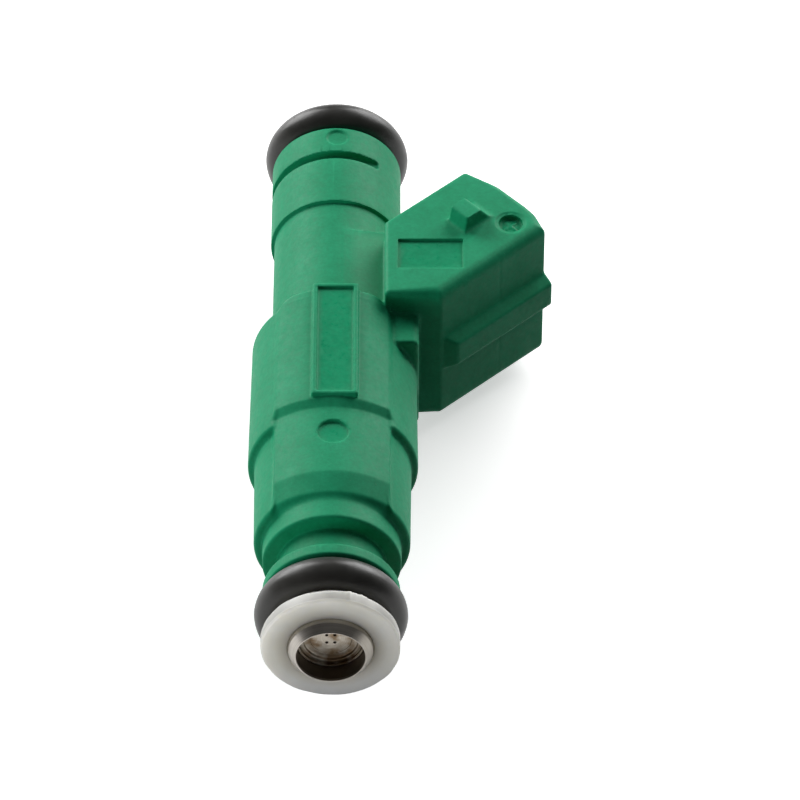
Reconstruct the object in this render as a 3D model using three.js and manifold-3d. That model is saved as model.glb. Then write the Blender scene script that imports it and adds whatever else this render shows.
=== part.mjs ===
// A long port fuel injector with a two-blade socket, in millimetres.
// The injector's axis is +Y, from the nozzle (-Y) to the fuel inlet (+Y). The socket leans towards +X and
// the label pad faces +Z. The origin is on the axis, at the centre plane of the lower O-ring.

import * as THREE from "three";
import { mergeVertices } from "three/addons/utils/BufferGeometryUtils.js";
import Module from "manifold-3d";

const wasm = await Module();
wasm.setup();

// ---- Driving dimensions ----

const FACETS = 28; // round every turned piece, so that mating pieces match facet by facet
const FIT = 0.03; // gap between turned pieces that touch
const POCKET = 0.15; // gap round the terminals in their moulded pocket

const SEAT_TO_SEAT = 64; // between the centre planes of the two O-rings
const O_RING_INNER = 3.76;
const O_RING_SECTION = 1.765; // radius of the rubber's own section
const O_RING_LAND = O_RING_INNER - 0.04; // what each O-ring sits on

const TIP_Y = -5.35; // the steel tip's rim
const CAP_FRONT_Y = -4.25;
const CAP_BACK_Y = -1.8;
const CAP_RIM_Y = -2.95; // back of the cap's thin rim
const CAP_R = 6.65;
const INLET_Y = 66.4;

const VALVE_BODY_R = 4.3;
const VALVE_BODY_TOP = 19;
const TIP_R = 4.08;
const TIP_BORE_R = 3.25;
const NEEDLE_BORE_R = 2.4;
const ARMATURE_R = 3.28;
const ARMATURE_BORE_R = 3.36; // bore that the armature slides in
const ARMATURE_TOP = 22;
const LIFT = 0.1; // travel of the needle
const POLE_FACE_Y = ARMATURE_TOP + LIFT + 0.01;
const TUBE_BORE_R = 1.95;

const BALL_R = 1.6;
const BALL_Y = 1.9;
const NEEDLE_R = 1.1;

const HOUSING_R = 7;
const HOUSING_BOTTOM = 13.5;
const HOUSING_TOP = 34.9;
const COIL_BOTTOM = 18.3;
const COIL_TOP = 32.2;

const BODY_BOTTOM = 1.9;
const BODY_TOP = 61.9;
const BARREL_R = 6.2;
const INLET_COLLAR_R = 6.56;
const NECK_R = 5.2; // between the nozzle flange and the ring behind it
const COLLAR_BOTTOM = 8.95;
const COLLAR_TOP = 35.6;
const PAD_HALF_WIDTH = 5.6;
const PAD_CROWN_R = 9.5; // how round the pad's face is
const PAD_Z = 8.1; // height of the pad's face over the axis
const PAD_LOW_Z = 7.65;

const SOCKET_ANGLE = THREE.MathUtils.degToRad(42.7); // from +X towards +Y
const SOCKET_HALF_WIDTH = 8.5; // along Z
const SOCKET_NEAR = 18.8; // the nozzle-side wall's outer face, across the socket
const SOCKET_FAR = 30.2; // the inlet-side wall's outer face
const SOCKET_RIM = 46.3; // the mouth's plane, along the socket
const SOCKET_FLOOR = 35.8;
const SOCKET_WALL = 1.4;
const NECK_X = 5; // where the socket's block leaves the barrel
const NECK_Y = 35.35; // the block's face towards the nozzle

const BLADE_WIDTH = 2.8;
const BLADE_THICKNESS = 0.8;
const BLADE_OFFSET = 2.5; // each blade's distance from the middle plane
const BLADE_END = 44.3;

// ---- Looks ----

const finish = (color, roughness, metalness) => new THREE.MeshStandardMaterial({ color, roughness, metalness });
const green = finish(0x1f7a4e, 0.5, 0);
const rubber = finish(0x242322, 0.45, 0);
const milky = finish(0xd8dad2, 0.35, 0);
const steel = finish(0xa8a39b, 0.3, 1);
const brass = finish(0xb08d4f, 0.35, 1);
const copper = finish(0xa5562d, 0.4, 1);
const nylon = finish(0x2b2b2b, 0.6, 0);

// ---- Solids ----

// A closed geometry as a solid that can be joined and cut.
function solid(geometry) {
  const bare = geometry.clone();
  bare.deleteAttribute("normal");
  bare.deleteAttribute("uv");
  const merged = mergeVertices(bare, 1e-4);
  const vertProperties = merged.attributes.position.array;
  const triVerts = new Uint32Array(merged.index.array);
  return new wasm.Manifold(new wasm.Mesh({ numProp: 3, vertProperties, triVerts }));
}

function geometryOf(made) {
  const { vertProperties, triVerts } = made.getMesh();
  const geometry = new THREE.BufferGeometry();
  geometry.setAttribute("position", new THREE.BufferAttribute(vertProperties, 3));
  geometry.setIndex(new THREE.BufferAttribute(triVerts, 1));
  return geometry;
}

// Turned about +Y. Each point is [radius, y]; the outside runs upwards. A ring's outline closes on itself.
function turned(points, facets = FACETS) {
  const profile = points.map(([r, y]) => new THREE.Vector2(r, y));
  if (points[0][0] > 0) profile.push(profile[0].clone());
  return new THREE.LatheGeometry(profile, facets);
}

const ring = (inner, outer, low, high) => turned([[inner, low], [outer, low], [outer, high], [inner, high]]);

const rod = (radius, low, high) => turned([[0, low], [radius, low], [radius, high], [0, high]]);

// A closed outline with rounded corners. Each corner is [a, b, radius]; a missing radius is sharp.
function outline(corners) {
  const shape = new THREE.Shape();
  corners.forEach(([a, b, radius = 0], i) => {
    const here = new THREE.Vector2(a, b);
    const from = new THREE.Vector2(...corners.at(i - 1).slice(0, 2)).sub(here);
    const to = new THREE.Vector2(...corners[(i + 1) % corners.length].slice(0, 2)).sub(here);
    const reach = radius / Math.tan(Math.abs(from.angleTo(to)) / 2);
    const start = here.clone().addScaledVector(from.normalize(), reach);
    const end = here.clone().addScaledVector(to.normalize(), reach);
    if (i === 0) shape.moveTo(start.x, start.y);
    else shape.lineTo(start.x, start.y);
    if (radius > 0) shape.quadraticCurveTo(a, b, end.x, end.y);
  });
  return shape;
}

// An outline drawn along the directions a and b, drawn out along a x b from low to high.
function prism(shape, a, b, low, high) {
  const along = new THREE.Vector3().crossVectors(a, b);
  const geometry = new THREE.ExtrudeGeometry(shape, { depth: high - low, bevelEnabled: false, curveSegments: 3 });
  geometry.translate(0, 0, low);
  return geometry.applyMatrix4(new THREE.Matrix4().makeBasis(a, b, along));
}

function block([x0, y0, z0], [x1, y1, z1]) {
  const geometry = new THREE.BoxGeometry(x1 - x0, y1 - y0, z1 - z0);
  return geometry.translate((x0 + x1) / 2, (y0 + y1) / 2, (z0 + z1) / 2);
}

const X = new THREE.Vector3(1, 0, 0);
const Y = new THREE.Vector3(0, 1, 0);
const Z = new THREE.Vector3(0, 0, 1);
const ALONG = new THREE.Vector3(Math.cos(SOCKET_ANGLE), Math.sin(SOCKET_ANGLE), 0); // out of the socket
const ACROSS = new THREE.Vector3(-Math.sin(SOCKET_ANGLE), Math.cos(SOCKET_ANGLE), 0);

// A point given along and across the socket, as [x, y].
function inSocket(along, across) {
  const point = ALONG.clone().multiplyScalar(along).addScaledVector(ACROSS, across);
  return [point.x, point.y];
}

// ---- The moulded body ----

// Everything of the body that is turned: nozzle flange, neck, collars and barrel, with the bore inside.
function bodyTurning() {
  const bore = VALVE_BODY_R + FIT;
  const chamber = HOUSING_R + FIT;
  const tube = O_RING_LAND + FIT;
  return turned([
    [bore, BODY_BOTTOM],
    [6.35, BODY_BOTTOM],
    [6.55, BODY_BOTTOM + 0.2],
    [6.55, 3.15],
    [NECK_R, 3.4],
    [NECK_R, 6.5],
    [6.65, 6.6],
    [6.65, COLLAR_BOTTOM],
    [7.5, COLLAR_BOTTOM],
    [7.62, 19.3],
    [8.27, 19.3],
    [8.12, COLLAR_TOP],
    [BARREL_R, COLLAR_TOP],
    [BARREL_R, 50.9],
    [INLET_COLLAR_R, 50.9],
    [INLET_COLLAR_R, BODY_TOP],
    [tube, BODY_TOP],
    [tube, HOUSING_TOP + FIT],
    [chamber, HOUSING_TOP + FIT],
    [chamber, HOUSING_BOTTOM - FIT],
    [bore, HOUSING_BOTTOM - FIT],
  ]);
}

// The crowned pad that carries the label frame, on the +Z side. It is turned about an axis below the injector's
// own, so that its face is flatter than the body's, and then cut to width.
function labelPad() {
  const drop = PAD_CROWN_R - PAD_Z;
  const profile = [
    [0, COLLAR_BOTTOM],
    [6.7 + drop, COLLAR_BOTTOM],
    [7.05 + drop, COLLAR_BOTTOM + 0.45],
    [PAD_LOW_Z + drop, 11.75],
    [PAD_LOW_Z + drop, 20.3],
    [PAD_CROWN_R, 21.2],
    [PAD_CROWN_R, 36.6],
    [0, 36.6],
  ];
  const crown = solid(turned(profile, 2 * FACETS).translate(0, 0, -drop));
  return crown.intersect(solid(block([-PAD_HALF_WIDTH, 0, 0], [PAD_HALF_WIDTH, 40, 12])));
}

const FRAME = { low: [-2.05, 21.4], high: [2.46, 36.85], top: 8.45, floor: 8.13, border: 0.47 };

function labelFrame() {
  return solid(block([...FRAME.low, 4], [...FRAME.high, FRAME.top]));
}

function labelRecess() {
  const { low, high, top, floor, border } = FRAME;
  return solid(block([low[0] + border, low[1] + border, floor], [high[0] - border, high[1] - border, top + 1]));
}

// A round mark that sinks a little into a face that looks along +Z.
function roundMark(x, y, radius, floor) {
  const circle = new THREE.Shape().absarc(x, y, radius, 0, 2 * Math.PI);
  return solid(prism(circle, X, Y, floor, 12));
}

// The slot round the inlet end, which stops short of the socket's side.
function inletSlot() {
  const slot = solid(ring(5.9, 8, 57.24, 58.31));
  return slot.subtract(solid(block([4.27, 56, -9], [9, 60, 9])));
}

// The socket's block as the mould draws it: a side outline, trimmed by the rounded section along the socket
// and by the rounded edge of the neck.
function socketBlock() {
  const half = SOCKET_HALF_WIDTH;
  const side = outline([
    [NECK_X, (SOCKET_FAR - NECK_X * ACROSS.x) / ACROSS.y],
    [...inSocket(45.3, SOCKET_FAR), 0.5],
    inSocket(SOCKET_RIM, 26.4),
    inSocket(SOCKET_RIM, 21),
    [...inSocket(45.9, SOCKET_NEAR), 0.3],
    [(SOCKET_NEAR - NECK_Y * ACROSS.y) / ACROSS.x, NECK_Y, 0.6],
    [NECK_X, NECK_Y],
  ].reverse());
  const section = outline([
    [SOCKET_NEAR, -half, 1],
    [SOCKET_FAR, -half, 0.4],
    [SOCKET_FAR, half, 0.4],
    [SOCKET_NEAR, half, 1],
  ]);
  const neckEdge = outline([
    [NECK_Y, -half, 0.6],
    [60, -half],
    [60, half],
    [NECK_Y, half, 0.6],
  ]);
  const drawn = solid(prism(side, X, Y, -half, half));
  return drawn.intersect(solid(prism(section, ACROSS, Z, 0, 60))).intersect(solid(prism(neckEdge, Y, Z, 0, 40)));
}

// The raised rib on the socket's nozzle side, which keys the plug.
function keyRib() {
  const face = SOCKET_NEAR + 0.1;
  const top = SOCKET_NEAR - 1.1;
  const section = outline([[face, -2.2], [top, -1.4], [top, 1.4], [face, 2.2]]);
  const sloped = outline([[31.9, face], [33, top], [45.9, top], [45.9, face]]);
  return solid(prism(section, ACROSS, Z, 31, 46)).intersect(solid(prism(sloped, ALONG, ACROSS, -3, 3)));
}

// The wedge on the socket's +Z side that a plug's wire clip snaps over.
function clipLug() {
  const base = SOCKET_HALF_WIDTH - 0.1;
  const top = SOCKET_HALF_WIDTH + 1.7;
  const wedge = outline([[39.4, base], [42.9, base], [41.55, top], [39.7, top]]);
  return solid(prism(wedge, ALONG, Z, -26, -23.6));
}

// The hollow that the plug enters.
function socketHollow() {
  const inner = SOCKET_HALF_WIDTH - SOCKET_WALL;
  const section = outline([
    [SOCKET_NEAR + SOCKET_WALL, -inner, 0.8],
    [SOCKET_FAR - SOCKET_WALL, -inner, 0.8],
    [SOCKET_FAR - SOCKET_WALL, inner, 0.8],
    [SOCKET_NEAR + SOCKET_WALL, inner, 0.8],
  ]);
  return solid(prism(section, ACROSS, Z, SOCKET_FLOOR, SOCKET_RIM + 1));
}

// The shallow window and the polarity mark on the socket's +Z side.
function sideMarks() {
  const face = SOCKET_HALF_WIDTH;
  const window = solid(block([6.3, 39, face - 0.3], [12.75, 43.1, face + 1]));
  const dish = roundMark(17.5, 45.5, 1.35, face - 0.3);
  const bar = block([-0.75, -0.15, face - 1], [0.75, 0.15, face - 0.1]).rotateZ(SOCKET_ANGLE);
  const barAlong = solid(bar.clone().translate(17.5, 45.5, 0));
  const barAcross = solid(bar.clone().rotateZ(Math.PI / 2).translate(17.5, 45.5, 0));
  return window.add(dish.subtract(barAlong).subtract(barAcross));
}

// The flat-topped block that stiffens the corner between the collar and the socket.
function neckGusset() {
  const [reach, half] = [8.35, 5.7];
  const section = outline([[4, -half], [reach, -half, 0.6], [reach, half, 0.6], [4, half]].reverse());
  return solid(prism(section, X, Z, -37, -31.3));
}

// The sloped web that leads the barrel's side into the socket's block.
function neckWeb() {
  const section = outline([[1.5, 3], [1.6, 6.2], [5.3, 5.7], [5.3, 3]]);
  return solid(prism(section, X, Z, -47.2, -36));
}

const mirrored = (made) => made.mirror([0, 0, 1]);
const bothSides = (made) => made.add(mirrored(made));

// What the pads take the place of: the turned surface over the pads' width.
function padGap() {
  return solid(block([-PAD_HALF_WIDTH, COLLAR_BOTTOM, 3], [PAD_HALF_WIDTH, COLLAR_TOP, 12]));
}

function plasticBody() {
  const bore = solid(rod(O_RING_LAND + FIT, 30, 70));
  const chamber = solid(rod(HOUSING_R + FIT, HOUSING_BOTTOM - FIT, HOUSING_TOP + FIT));
  const neckBore = solid(rod(VALVE_BODY_R + FIT, 0, 20));
  return solid(bodyTurning())
    .subtract(bothSides(padGap()))
    .add(bothSides(labelPad().add(labelFrame())))
    .add(socketBlock())
    .add(keyRib())
    .add(bothSides(clipLug()))
    .add(neckGusset())
    .add(bothSides(neckWeb()))
    .subtract(bore)
    .subtract(chamber)
    .subtract(neckBore)
    .subtract(socketHollow())
    .subtract(inletSlot())
    .subtract(bothSides(labelRecess()))
    .subtract(bothSides(roundMark(0.1, 17.1, 1.5, PAD_LOW_Z - 0.35)))
    .subtract(bothSides(roundMark(0.1, 60.4, 0.98, 6.25)))
    .subtract(bothSides(sideMarks()))
    .subtract(solid(terminal(BLADE_OFFSET, POCKET)))
    .subtract(solid(terminal(-BLADE_OFFSET, POCKET)));
}

// ---- Terminals ----

// A blade that runs back from the socket, bends down beside the inlet tube and ends on the bobbin. grow widens it.
function terminal(z, grow) {
  const half = BLADE_WIDTH / 2 + grow;
  const middle = (SOCKET_NEAR + SOCKET_FAR) / 2;
  const [legInner, legOuter] = [4.6 - grow, 5.8 + grow];
  const legFoot = COIL_TOP + 1.2;
  const bend = (across, x) => [x, (across - x * ACROSS.x) / ACROSS.y];
  const side = outline([
    [legInner, legFoot],
    [legOuter, legFoot],
    bend(middle - half, legOuter),
    inSocket(BLADE_END - 0.6, middle - half),
    inSocket(BLADE_END, middle - half + 0.6),
    inSocket(BLADE_END, middle + half - 0.6),
    inSocket(BLADE_END - 0.6, middle + half),
    bend(middle + half, legInner),
  ]);
  const reach = BLADE_THICKNESS / 2 + grow;
  return prism(side, X, Y, z - reach, z + reach);
}

// ---- Nozzle end ----

function nozzleCap() {
  return turned([
    [TIP_R + FIT, CAP_FRONT_Y],
    [6.25, CAP_FRONT_Y],
    [6.55, CAP_FRONT_Y + 0.4],
    [CAP_R, CAP_FRONT_Y + 1.1],
    [CAP_R, CAP_RIM_Y],
    [5.9, CAP_RIM_Y + 0.35],
    [5.5, CAP_BACK_Y],
    [TIP_R + FIT, CAP_BACK_Y],
    [TIP_R + FIT, -2.7],
    [3.95, -2.8],
    [3.95, -3.1],
    [TIP_R + FIT, -3.2],
  ]);
}

function valveBody() {
  const land = { low: -1.95, high: 1.95 };
  return turned([
    [TIP_BORE_R, TIP_Y],
    [3.38, TIP_Y],
    [3.98, -4.6],
    [TIP_R, -4.3],
    [TIP_R, -3.3],
    [3.88, -3.2],
    [3.88, -2.7],
    [TIP_R, -2.6],
    [TIP_R, land.low],
    [O_RING_LAND, land.low],
    [O_RING_LAND, land.high],
    [VALVE_BODY_R, land.high],
    [VALVE_BODY_R, VALVE_BODY_TOP],
    [ARMATURE_BORE_R, VALVE_BODY_TOP],
    [ARMATURE_BORE_R, 12.5],
    [NEEDLE_BORE_R, 11.9],
    [NEEDLE_BORE_R, 4],
    [TIP_BORE_R, 4],
  ]);
}

function oRing(y) {
  const section = [];
  const sides = 12;
  for (let i = 0; i < sides; i++) {
    const turn = (2 * Math.PI * i) / sides;
    const across = O_RING_INNER + O_RING_SECTION + O_RING_SECTION * Math.cos(turn);
    section.push([across, y + O_RING_SECTION * Math.sin(turn)]);
  }
  return turned(section);
}

// A dished disc with a turned-down collar and four spray holes.
function sprayDisc() {
  const dish = solid(turned([
    [0, -2.9],
    [1.95, -2.9],
    [1.95, -3],
    [2.58, -3],
    [2.58, -3.3],
    [3, -3.3],
    [3, -2.65],
    [0, -2.65],
  ]));
  let drilled = dish;
  for (const x of [-0.38, 0.38])
    for (const z of [-0.5, 0.5]) {
      const hole = new THREE.CylinderGeometry(0.16, 0.16, 2, 10).translate(x, -2.8, z);
      drilled = drilled.subtract(solid(hole));
    }
  return geometryOf(drilled);
}

const discRetainer = () => ring(3 + FIT, TIP_BORE_R - FIT, -3.55, -2.65);

// The cone under the ball is a 45 degree one, so it passes through where the ball's surface slopes that way.
function valveSeat() {
  const top = 1.4;
  const contact = BALL_R * Math.SQRT1_2;
  const coneRadius = (y) => y - (BALL_Y - contact) + contact + FIT;
  const throat = 0.45;
  const throatY = throat - coneRadius(0);
  return turned([
    [1.2, -2.6],
    [TIP_BORE_R - FIT, -2.6],
    [TIP_BORE_R - FIT, top],
    [coneRadius(top), top],
    [throat, throatY],
    [throat, -1.4],
    [1.2, -1.8],
  ]);
}

// The ring that keeps the ball central, with four notches for the fuel.
function guideRing() {
  let made = solid(ring(BALL_R + FIT, TIP_BORE_R - FIT, 1.43, 3.2));
  for (let i = 0; i < 4; i++) {
    const notch = solid(block([-0.4, 1, 0], [0.4, 4, 2.3]).rotateY((i * Math.PI) / 2 + 0.4));
    made = made.subtract(notch);
  }
  return geometryOf(made);
}

// ---- The moving needle ----

function valveBall() {
  const socket = solid(rod(NEEDLE_R + FIT, BALL_Y + 1.05, BALL_Y + 3));
  const ball = new THREE.SphereGeometry(BALL_R, FACETS, 12).translate(0, BALL_Y, 0);
  return geometryOf(solid(ball).subtract(socket));
}

// A tube from the ball to the armature, with two cross holes that let the fuel out.
function needleTube() {
  let made = solid(ring(0.7, NEEDLE_R, BALL_Y + 1.05 + FIT, 20.5));
  const hole = () => new THREE.CylinderGeometry(0.4, 0.4, 4, 12).rotateZ(Math.PI / 2);
  made = made.subtract(solid(hole().translate(0, 5.2, 0)));
  made = made.subtract(solid(hole().rotateY(Math.PI / 2).translate(0, 7, 0)));
  return geometryOf(made);
}

function armature() {
  return turned([
    [NEEDLE_R + FIT, 13.2],
    [2.6, 13.2],
    [ARMATURE_R, 13.9],
    [ARMATURE_R, ARMATURE_TOP],
    [1.8, ARMATURE_TOP],
    [1.8, 20.6],
    [NEEDLE_R + FIT, 20.6],
  ]);
}

// ---- Inlet side ----

function inletTube() {
  const shoulder = 24.5;
  return turned([
    [TUBE_BORE_R, POLE_FACE_Y],
    [ARMATURE_BORE_R - FIT, POLE_FACE_Y],
    [ARMATURE_BORE_R - FIT, shoulder],
    [VALVE_BODY_R, shoulder],
    [VALVE_BODY_R, COIL_TOP + 1.15],
    [O_RING_LAND, COIL_TOP + 1.15],
    [O_RING_LAND, 65.85],
    [5.3, 65.85],
    [5.55, 66],
    [5.55, 66.25],
    [5.4, INLET_Y],
    [3.2, INLET_Y],
    [3, 66.2],
    [3, 50],
    [TUBE_BORE_R, 49],
  ]);
}

const nonMagneticSleeve = () => ring(ARMATURE_BORE_R, VALVE_BODY_R, VALVE_BODY_TOP + FIT, 24.5 - FIT);

// A rolled tube, split along its length, that is pressed into the inlet tube against the spring.
function adjustingSleeve() {
  const tube = solid(ring(1.3, TUBE_BORE_R - FIT, 34, 46));
  return geometryOf(tube.subtract(solid(block([-0.25, 33, 0], [0.25, 47, 3]))));
}

class Helix extends THREE.Curve {
  constructor(radius, low, high, turns) {
    super();
    Object.assign(this, { radius, low, high, turns });
  }

  getPoint(t, target = new THREE.Vector3()) {
    const turn = 2 * Math.PI * this.turns * t;
    const y = THREE.MathUtils.lerp(this.low, this.high, t);
    return target.set(this.radius * Math.cos(turn), y, this.radius * Math.sin(turn));
  }
}

function returnSpring() {
  const [wire, turns, stepsPerTurn, sides] = [0.26, 8, 10, 5];
  const section = new THREE.Shape();
  for (let i = 0; i < sides; i++) {
    const turn = (2 * Math.PI * i) / sides;
    const point = [wire * Math.cos(turn), wire * Math.sin(turn)];
    if (i === 0) section.moveTo(...point);
    else section.lineTo(...point);
  }
  const extrudePath = new Helix(1.38, 20.6 + wire + 0.1, 34 - wire - 0.05, turns);
  return new THREE.ExtrudeGeometry(section, { steps: turns * stepsPerTurn, extrudePath, bevelEnabled: false });
}

// The filter basket: a brass collar pressed into the inlet, a moulded cage below it and the mesh inside the cage.
const strainerCollar = () => ring(2.3, 3 - FIT, 63.6, 66.1);

function strainerFrame() {
  const ribs = 3;
  let made = solid(ring(2.2, 2.85, 61.8, 63.55)).add(solid(rod(2.3, 50.6, 51.8)));
  for (let i = 0; i < ribs; i++) {
    const rib = block([-0.3, 51, 2.22], [0.3, 62.5, 2.75]).rotateY((2 * Math.PI * i) / ribs);
    made = made.add(solid(rib));
    const foot = block([-0.3, 51, 1], [0.3, 51.8, 2.75]).rotateY((2 * Math.PI * i) / ribs);
    made = made.add(solid(foot));
  }
  return geometryOf(made);
}

const strainerMesh = () => ring(2, 2.12, 51.85, 63.2);

// ---- Solenoid ----

function coilBobbin() {
  const [bore, wall, flange] = [VALVE_BODY_R + FIT, 4.85, 6.5];
  return turned([
    [bore, COIL_BOTTOM - 1.1],
    [flange, COIL_BOTTOM - 1.1],
    [flange, COIL_BOTTOM - FIT],
    [wall, COIL_BOTTOM - FIT],
    [wall, COIL_TOP + FIT],
    [flange, COIL_TOP + FIT],
    [flange, COIL_TOP + 1.1],
    [bore, COIL_TOP + 1.1],
  ]);
}

const coilWinding = () => ring(4.85 + FIT, 6.35, COIL_BOTTOM, COIL_TOP);

function magnetHousing() {
  const floor = HOUSING_BOTTOM + 1.7;
  return turned([
    [VALVE_BODY_R + FIT, HOUSING_BOTTOM],
    [HOUSING_R, HOUSING_BOTTOM],
    [HOUSING_R, HOUSING_TOP],
    [6.7, HOUSING_TOP],
    [6.7, floor],
    [VALVE_BODY_R + FIT, floor],
  ]);
}

// A steel disc that carries the magnetic flux from the housing to the inlet tube, notched for the terminals.
function fluxWasher() {
  const disc = solid(ring(O_RING_LAND + FIT, 6.7 - FIT, COIL_TOP + 1.2, HOUSING_TOP));
  return geometryOf(disc.subtract(solid(block([4.1, 30, -3.5], [8, 40, 3.5]))));
}

// ---- Assembly ----

const group = new THREE.Group();

function add(name, geometry, material) {
  const mesh = new THREE.Mesh(geometry, material);
  mesh.name = name;
  group.add(mesh);
}

add("plastic_body", geometryOf(plasticBody()), green);
add("terminal_blade_left", terminal(BLADE_OFFSET, 0), brass);
add("terminal_blade_right", terminal(-BLADE_OFFSET, 0), brass);

add("lower_o_ring", oRing(0), rubber);
add("nozzle_cap", nozzleCap(), milky);
add("valve_body", valveBody(), steel);
add("spray_disc", sprayDisc(), steel);
add("disc_retainer", discRetainer(), steel);
add("valve_seat", valveSeat(), steel);
add("guide_ring", guideRing(), steel);

add("valve_ball", valveBall(), steel);
add("needle_tube", needleTube(), steel);
add("armature", armature(), steel);
add("return_spring", returnSpring(), steel);

add("upper_o_ring", oRing(SEAT_TO_SEAT), rubber);
add("inlet_tube", inletTube(), steel);
add("non_magnetic_sleeve", nonMagneticSleeve(), steel);
add("adjusting_sleeve", adjustingSleeve(), steel);
add("strainer_collar", strainerCollar(), brass);
add("strainer_frame", strainerFrame(), nylon);
add("strainer_mesh", strainerMesh(), nylon);

add("coil_bobbin", coilBobbin(), nylon);
add("coil_winding", coilWinding(), copper);
add("magnet_housing", magnetHousing(), steel);
add("flux_washer", fluxWasher(), steel);

export default group;
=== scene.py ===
import math

import bpy
import numpy as np
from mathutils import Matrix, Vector


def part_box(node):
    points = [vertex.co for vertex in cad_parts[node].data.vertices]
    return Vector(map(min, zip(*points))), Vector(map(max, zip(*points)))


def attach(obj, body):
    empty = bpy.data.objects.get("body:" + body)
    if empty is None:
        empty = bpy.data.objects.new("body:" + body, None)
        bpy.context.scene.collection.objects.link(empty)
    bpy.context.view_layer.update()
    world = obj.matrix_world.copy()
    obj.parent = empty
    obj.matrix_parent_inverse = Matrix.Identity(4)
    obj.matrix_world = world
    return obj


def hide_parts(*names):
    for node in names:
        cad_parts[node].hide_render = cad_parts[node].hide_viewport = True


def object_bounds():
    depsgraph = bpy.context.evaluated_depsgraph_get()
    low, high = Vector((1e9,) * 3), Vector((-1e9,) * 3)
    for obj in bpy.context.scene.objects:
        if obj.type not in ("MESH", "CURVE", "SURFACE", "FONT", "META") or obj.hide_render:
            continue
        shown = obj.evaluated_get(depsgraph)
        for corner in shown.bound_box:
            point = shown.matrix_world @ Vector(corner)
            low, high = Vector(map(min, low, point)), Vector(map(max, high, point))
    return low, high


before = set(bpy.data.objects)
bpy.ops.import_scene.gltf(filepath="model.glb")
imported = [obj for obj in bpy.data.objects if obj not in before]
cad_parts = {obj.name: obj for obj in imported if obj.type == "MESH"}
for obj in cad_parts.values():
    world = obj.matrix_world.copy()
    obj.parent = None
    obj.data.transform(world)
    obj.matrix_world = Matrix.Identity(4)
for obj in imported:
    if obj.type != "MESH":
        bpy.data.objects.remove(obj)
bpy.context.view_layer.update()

MM = 0.001


def box_mm(node):
    low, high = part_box(node)
    return np.array(low) / MM, np.array(high) / MM


# ---- Camera: it stands where the photo was taken from ----

LENS = 237.6
TARGET = Vector((6.5, 29.0, 0.0)) * MM
DISTANCE = 518.8 * MM
ELEVATION = math.radians(44.6)


def add_camera():
    camera = bpy.data.objects.new("camera", bpy.data.cameras.new("camera"))
    bpy.context.scene.collection.objects.link(camera)
    away = Vector((0, -math.cos(ELEVATION), math.sin(ELEVATION)))
    camera.location = TARGET + away * DISTANCE
    camera.rotation_euler = (-away).to_track_quat("-Z", "Y").to_euler()
    camera.data.lens = LENS
    camera.data.sensor_width = 36
    camera.data.clip_start = 0.01
    camera.data.clip_end = 50
    bpy.context.scene.camera = camera


add_camera()


# ---- Outlines ----

def rounded(corners, steps=6):
    """The points of a closed outline. Each corner is (a, b, radius)."""
    points = []
    count = len(corners)
    for i, (a, b, radius) in enumerate(corners):
        here = np.array((a, b), float)
        if radius <= 0:
            points.append(here)
            continue
        back = np.array(corners[i - 1][:2], float) - here
        ahead = np.array(corners[(i + 1) % count][:2], float) - here
        back /= np.linalg.norm(back)
        ahead /= np.linalg.norm(ahead)
        half = math.acos(float(np.clip(back @ ahead, -1, 1))) / 2
        middle = here + (back + ahead) / np.linalg.norm(back + ahead) * radius / math.sin(half)
        start = here + back * radius / math.tan(half) - middle
        end = here + ahead * radius / math.tan(half) - middle
        turn = math.atan2(start[0] * end[1] - start[1] * end[0], float(start @ end))
        for s in range(steps + 1):
            c, n = math.cos(turn * s / steps), math.sin(turn * s / steps)
            points.append(middle + (c * start[0] - n * start[1], n * start[0] + c * start[1]))
    return np.array(points)


def mesh_object(name, vertices_mm, faces, smooth_angle=35):
    mesh = bpy.data.meshes.new(name)
    mesh.from_pydata((np.asarray(vertices_mm) * MM).tolist(), [], faces)
    mesh.validate()
    obj = bpy.data.objects.new(name, mesh)
    bpy.context.scene.collection.objects.link(obj)
    shade(obj, smooth_angle)
    return obj


def shade(obj, smooth_angle=35):
    obj.data.shade_smooth()
    obj.data.set_sharp_from_angle(angle=math.radians(smooth_angle))


def turned_mesh(profile, segments):
    """A closed outline (radius, y) turned about Y. Its outer side runs upwards."""
    vertices, rows = [], []
    for r, y in profile:
        if r < 1e-6:
            rows.append([len(vertices)] * segments)
            vertices.append((0, y, 0))
            continue
        rows.append(list(range(len(vertices), len(vertices) + segments)))
        for s in range(segments):
            turn = 2 * math.pi * s / segments
            vertices.append((r * math.sin(turn), y, r * math.cos(turn)))
    faces = []
    for i, row in enumerate(rows):
        above = rows[(i + 1) % len(rows)]
        for s in range(segments):
            t = (s + 1) % segments
            face = []
            for v in (row[s], row[t], above[t], above[s]):
                if v not in face:
                    face.append(v)
            if len(face) > 2:
                faces.append(face)
    return vertices, faces


def turned(name, corners, segments=160):
    return mesh_object(name, *turned_mesh(rounded(corners, 5), segments))


# ---- Distance fields, in millimetres, for the moulded body ----

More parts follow.
